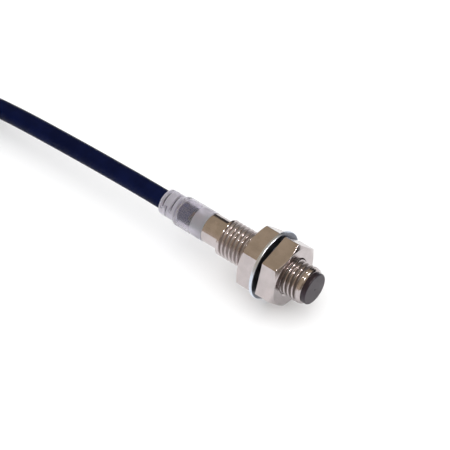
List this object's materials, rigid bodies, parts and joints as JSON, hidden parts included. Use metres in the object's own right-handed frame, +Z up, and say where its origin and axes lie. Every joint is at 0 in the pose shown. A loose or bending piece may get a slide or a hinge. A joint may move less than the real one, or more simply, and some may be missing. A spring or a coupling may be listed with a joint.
{
  "type": "proximity sensor",
  "caption": "Short threaded cylindrical inductive proximity sensor with hexagon clamping nuts, toothed lock washer, clear indicator sleeve and moulded-in cable with free cores.",
  "frame": {"origin": "centre of the sensing face", "axes": "+X points out of the sensing face along the barrel's axis, +Z is up as the sensor lies on the rim of its lock washer"},
  "size_m": [0.1766, 0.0526, 0.0185],
  "materials": {
    "nickel_plate": "bright nickel plating on turned brass",
    "washer_steel": "zinc-plated spring steel",
    "cap_plastic": "dark heat-resistant moulding",
    "clear_plastic": "frosted translucent moulding",
    "cable_jacket": "oil-resistant vinyl jacket, dark navy",
    "ferrite": "sintered ferrite",
    "bobbin_plastic": "white moulding",
    "copper": "enamelled copper wire",
    "resin": "epoxy resin",
    "board": "green solder mask on glass epoxy",
    "chip_black": "moulded package",
    "chip_ceramic": "ceramic chip with tinned ends",
    "lamp": "diffusing lens",
    "core_brown": "vinyl insulation",
    "core_blue": "vinyl insulation",
    "core_black": "vinyl insulation",
    "tinned_copper": "tinned strands",
    "tie_plastic": "flat tie band"
  },
  "bodies": {
    "sensor": {"barrel": "nickel_plate", "sensing_cap": "cap_plastic", "ferrite_core": "ferrite", "coil_bobbin": "bobbin_plastic", "coil_winding": "copper", "coil_leads": "copper", "potting": "resin", "circuit_board": "board", "control_chip": "chip_black", "output_transistor": "chip_black", "chip_resistors": "chip_black", "chip_capacitors": "chip_ceramic", "indicator_lamp": "lamp", "clear_sleeve": "clear_plastic", "cable_end": "cable_jacket", "core_brown": "core_brown", "core_blue": "core_blue", "core_black": "core_black", "cable_lead": "cable_jacket", "cable_hank": "cable_jacket", "hank_tie": "tie_plastic", "cable_tail": "cable_jacket", "tail_brown": "core_brown", "tail_blue": "core_blue", "tail_black": "core_black", "core_tips": "tinned_copper"},
    "front_nut": {"front_nut": "nickel_plate"},
    "lock_washer": {"lock_washer": "washer_steel"},
    "rear_nut": {"rear_nut": "nickel_plate"}
  },
  "joints": [
    {"name": "washer_slide", "type": "slide", "parent": "sensor", "child": "lock_washer", "axis": [1, 0, 0], "range_m": [0, 0.004]},
    {"name": "front_nut_turn", "type": "hinge", "parent": "lock_washer", "child": "front_nut", "pos_m": [-0.0074, 0, 0], "axis": [1, 0, 0], "range_deg": [0, 1440]},
    {"name": "rear_nut_slide", "type": "slide", "parent": "sensor", "child": "rear_nut", "axis": [1, 0, 0], "range_m": [-0.007, 0]}
  ],
  "couplings": [
    {"joint": "washer_slide", "follows": "front_nut_turn", "m_per_rad": 0.00015915}
  ]
}
